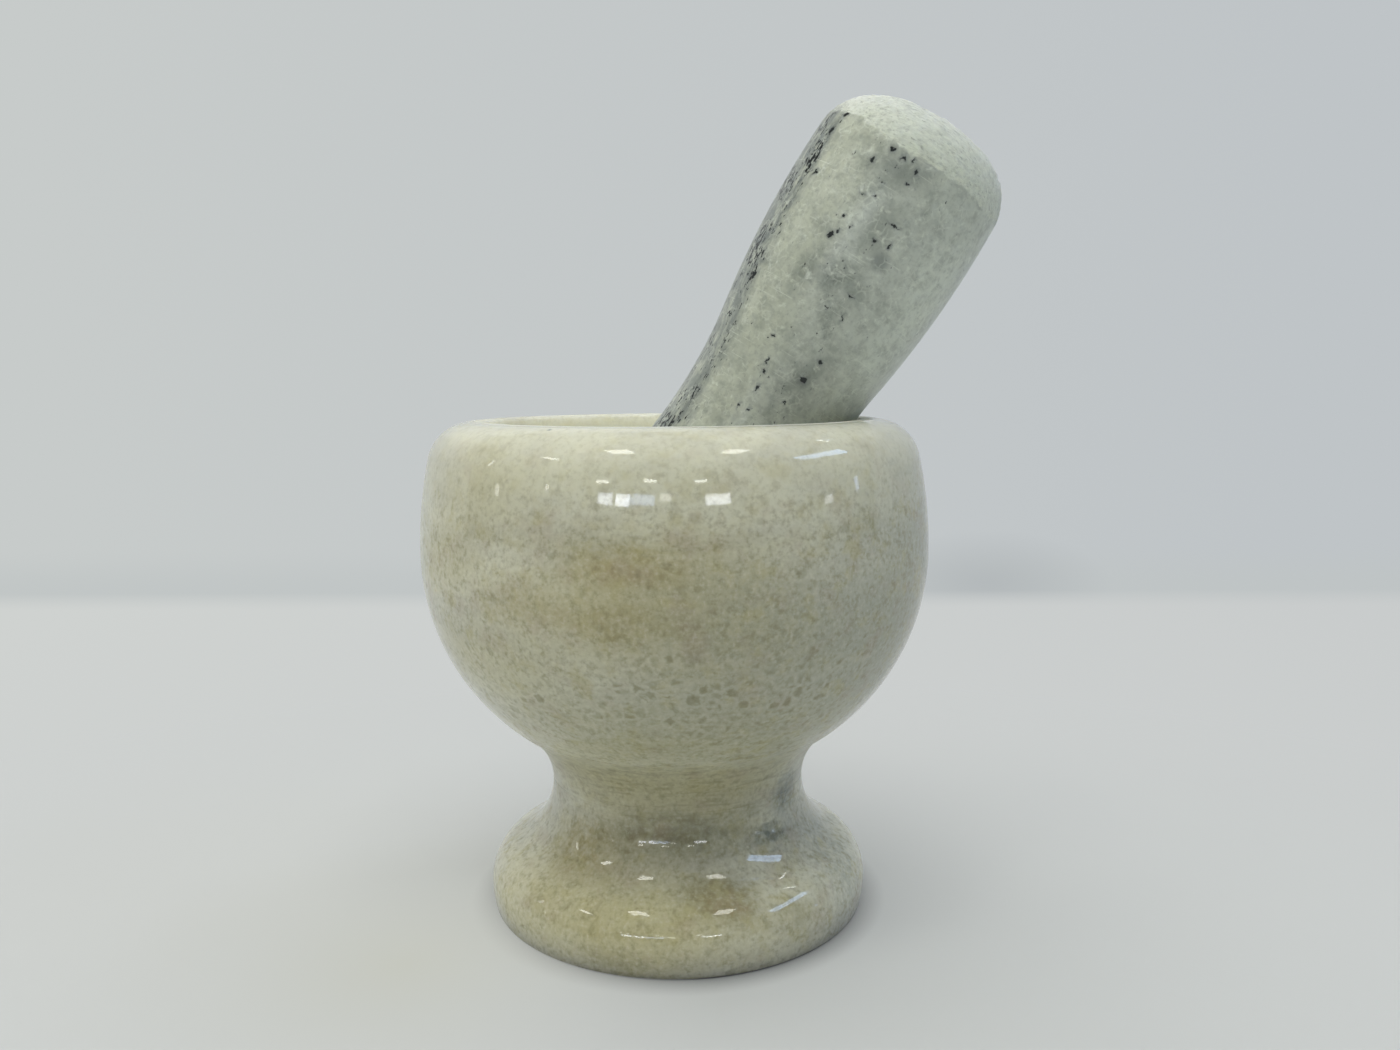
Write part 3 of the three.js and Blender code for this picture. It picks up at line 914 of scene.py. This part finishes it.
def lay_table():
    """The table and wall: a plane whose far edge is drawn up, with a cove between them"""
    wall_distance, wall_skew, stage_size, wall_height, cove = 0.312, -0.038, 4, 0.45, 0.03
    bpy.ops.object.select_all(action="DESELECT")
    bpy.ops.mesh.primitive_plane_add(
        size=stage_size, location=(0, wall_distance - stage_size / 2, 0), rotation=(0, 0, wall_skew),
    )
    stage = bpy.context.object
    stage.name = stage.data.name = "pale_stage"
    bpy.ops.object.transform_apply(location=True, rotation=True)
    bpy.ops.object.mode_set(mode="EDIT")
    bpy.ops.mesh.select_mode(type="EDGE")
    bpy.ops.mesh.select_all(action="DESELECT")
    bpy.ops.object.mode_set(mode="OBJECT")
    for edge in stage.data.edges:
        edge.select = all(stage.data.vertices[end].co.y > 0 for end in edge.vertices)
    bpy.ops.object.mode_set(mode="EDIT")
    bpy.ops.mesh.extrude_region_move(TRANSFORM_OT_translate={"value": (0, 0, wall_height)})
    bpy.ops.object.mode_set(mode="OBJECT")
    for edge in stage.data.edges:
        ends = [stage.data.vertices[end].co for end in edge.vertices]
        edge.select = all(end.y > 0 and end.z < wall_height / 2 for end in ends)
    bpy.ops.object.mode_set(mode="EDIT")
    bpy.ops.mesh.bevel(offset=cove, segments=10)
    bpy.ops.object.mode_set(mode="OBJECT")
    bpy.ops.object.shade_smooth()
    stage.data.materials.append(pale_stage())
    stage.visible_shadow = False


def hang_lamps():
    """The room's soft lights, and the panels and windows that the polish shows"""
    middle = Vector((0, 0, 0.06))

    # Compass bearing from the front and height above the table's level in degrees, distance, width and height
    # in metres, colour, brightness against white, and whether the polish shows the lamp
    for name, compass, rise, distance, width, height, colour, brightness, mirrored in (
        ("soft_front", 0, 64, 2, 1.2, 1.2, "ffffff", 3.0, False),
        ("soft_top", 20, 86, 2, 1.2, 1.2, "ffffff", 0.6, False),
        ("soft_window_left", -70, 25, 2, 1.2, 1.2, "ffffff", 0.45, False),
        ("soft_right", 110, 45, 2, 1.2, 1.2, "ffffff", 0.42, False),
        ("soft_wall_left", -90, 50, 2, 3, 3, "ffffff", 0.64, False),
        ("soft_wall_back", 180, 60, 2, 3, 3, "ffffff", 0.9, False),
        ("ceiling_panel_left", -42.6, 64.4, 2.4, 0.32, 0.48, "fffdf6", 7.5, True),
        ("ceiling_panel_right", 44.8, 62.6, 2.4, 0.33, 0.48, "fffdf6", 7.5, True),
        ("ceiling_panel_far_left", -67.7, 40.9, 3.2, 0.27, 0.45, "fffdf6", 8, True),
        ("ceiling_tube_right", 120.5, 52.7, 2.52, 0.59, 0.07, "ffffff", 8, True),
        ("front_panel_left", -31.5, 17.5, 5, 0.44, 0.1, "fffdf6", 10, True),
        ("front_panel_middle", -11, 18.8, 5, 0.47, 0.1, "fffdf6", 10, True),
        ("front_panel_right", 11.3, 18.5, 5, 0.46, 0.1, "fffdf6", 10, True),
        ("window_pane_outer", -30, 13, 5, 0.53, 0.26, "ecf1ff", 9.5, True),
        ("window_pane_inner", -22.5, 13, 5, 0.5, 0.28, "ecf1ff", 13, True),
        ("window_pane_shaded", -14.2, 13.4, 5, 0.95, 0.24, "c3d6ff", 5.5, True),
        ("window_pane_small", -4.1, 14.2, 5, 0.4, 0.18, "fffdf6", 5, True),
        ("window_pane_right", 18.3, 13.3, 5, 0.9, 0.25, "f4f7ff", 10, True),
        ("skylight_right", 80.6, 38, 2.37, 1.15, 0.3, "b4d2ff", 6, True),
        ("side_window_right", 69.5, 8.5, 5, 0.4, 0.16, "f4f7ff", 4, True),
        ("far_window_right", 86.5, 9.4, 5, 0.2, 0.25, "c3d6ff", 4, True),
        ("side_window_left", -57.2, 13.5, 5, 0.16, 0.12, "fffdf6", 6, True),
        ("far_window_left", -83.3, 9.1, 5, 0.2, 0.2, "fffdf6", 4, True),
        ("doorway_left", -92.5, 21, 3, 0.1, 0.4, "ffffff", 4, True),
    ):
        level = math.cos(math.radians(rise))
        towards = Vector((
            level * math.sin(math.radians(compass)),
            -level * math.cos(math.radians(compass)),
            math.sin(math.radians(rise)),
        ))
        bpy.ops.object.light_add(type="AREA", location=middle + distance * towards)
        lamp = bpy.context.object
        lamp.name = lamp.data.name = name

        # Lamps in the ceiling lie level, and the others face the bowl
        if not name.startswith("ceiling"):
            lamp.rotation_euler = (-towards).to_track_quat("-Z", "Y").to_euler()
        lamp.data.shape = "RECTANGLE"
        lamp.data.size, lamp.data.size_y = width, height
        lamp.data.color = linear(colour)[:3]
        lamp.data.energy = brightness * math.pi * width * height
        lamp.visible_glossy = mirrored


def fill_room():
    """Dim light from all round, and a plain pale background for the camera"""
    world = bpy.data.worlds.new("pale_room")
    bpy.context.scene.world = world
    world.use_nodes = True
    tree = world.node_tree
    tree.nodes.clear()
    ray = add(tree, "ShaderNodeLightPath", {})
    room = add(tree, "ShaderNodeBackground", {"Color": linear("c9ccd0"), "Strength": 0.03})
    backdrop = add(tree, "ShaderNodeBackground", {"Color": linear("c6cac9"), "Strength": 1})
    seen = add(tree, "ShaderNodeMixShader", {
        0: ray.outputs["Is Camera Ray"], 1: room.outputs[0], 2: backdrop.outputs[0],
    })
    add(tree, "ShaderNodeOutputWorld", {"Surface": seen.outputs[0]})


def aim_camera():
    """A phone's wide lens close in front of the bowl, a little above its rim"""
    stand, lens = (0, -0.2215, 0.10515), 28.54
    yaw, pitch, roll = 0.0223, 0.1300, -0.0069
    bpy.ops.object.camera_add()
    camera = bpy.context.object
    camera.name = camera.data.name = "phone_camera"
    camera.data.lens, camera.data.sensor_width = lens, 36
    camera.data.clip_start = 0.01
    aim = Matrix.Rotation(-yaw, 4, "Z") @ Matrix.Rotation(math.pi / 2 - pitch, 4, "X")
    camera.matrix_world = Matrix.Translation(stand) @ aim @ Matrix.Rotation(roll, 4, "Z")
    bpy.context.scene.camera = camera


# Operators and panel

class GRINDING_OT_turn_mortar(bpy.types.Operator):
    """Turns the mortar from one block and polishes it"""
    bl_idname = "grinding_bowl.turn_mortar"
    bl_label = "Turn mortar"

    def execute(self, context):
        sizes = context.scene.mortar_sizes
        mortar = turn("turned_mortar", mortar_section(sizes), sizes.sides)
        mortar.data.materials.append(polished_cream_marble(sizes, context.scene.stone_colours))
        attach(mortar, "mortar")
        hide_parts("mortar")
        return {"FINISHED"}


class GRINDING_OT_turn_pestle(bpy.types.Operator):
    """Turns the pestle, roughens its ends and leans it in the mortar's mouth"""
    bl_idname = "grinding_bowl.turn_pestle"
    bl_label = "Turn pestle"

    def execute(self, context):
        sizes = context.scene.pestle_sizes
        pestle = turn("turned_pestle", pestle_section(sizes), sizes.sides)
        pestle.data.materials.append(veined_marble(sizes, context.scene.stone_colours))
        pit_ends(pestle, sizes)
        leaned = Matrix.Rotation(sizes.heading, 4, "Z") @ Matrix.Rotation(sizes.lean, 4, "Y")
        pestle.matrix_world = Matrix.Translation(PESTLE_MIDDLE) @ leaned
        bpy.ops.object.transform_apply(location=True, rotation=True, scale=True)
        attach(pestle, "pestle")
        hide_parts("pestle")
        return {"FINISHED"}


class GRINDING_OT_lay_stage(bpy.types.Operator):
    """Lays the table and wall, hangs the lamps and sets up the camera"""
    bl_idname = "grinding_bowl.lay_stage"
    bl_label = "Lay stage"

    def execute(self, context):
        lay_table()
        hang_lamps()
        fill_room()
        aim_camera()
        context.scene.view_settings.view_transform = "Standard"
        return {"FINISHED"}


class GRINDING_PT_sidebar(bpy.types.Panel):
    """Sizes, colours and steps of the mortar and pestle"""
    bl_idname = "GRINDING_PT_sidebar"
    bl_label = "Mortar and pestle"
    bl_space_type = "VIEW_3D"
    bl_region_type = "UI"
    bl_category = "Mortar"

    def draw(self, context):
        for heading, group in (
            ("Mortar", context.scene.mortar_sizes),
            ("Pestle", context.scene.pestle_sizes),
            ("Stone", context.scene.stone_colours),
        ):
            box = self.layout.box()
            box.label(text=heading)
            for name in group.__annotations__:
                box.prop(group, name)
        for operator in OPERATORS:
            self.layout.operator(operator.bl_idname)


OPERATORS = (GRINDING_OT_turn_mortar, GRINDING_OT_turn_pestle, GRINDING_OT_lay_stage)
GROUPS = {"mortar_sizes": MortarSizes, "pestle_sizes": PestleSizes, "stone_colours": StoneColours}


def register():
    for each in (*GROUPS.values(), *OPERATORS, GRINDING_PT_sidebar):
        bpy.utils.register_class(each)
    for name, group in GROUPS.items():
        setattr(bpy.types.Scene, name, PointerProperty(type=group))


def unregister():
    for name in GROUPS:
        delattr(bpy.types.Scene, name)
    for each in (GRINDING_PT_sidebar, *reversed(OPERATORS), *GROUPS.values()):
        bpy.utils.unregister_class(each)


def main():
    register()
    bpy.ops.grinding_bowl.turn_mortar()
    bpy.ops.grinding_bowl.turn_pestle()
    bpy.ops.grinding_bowl.lay_stage()


if __name__ == "__main__":
    main()
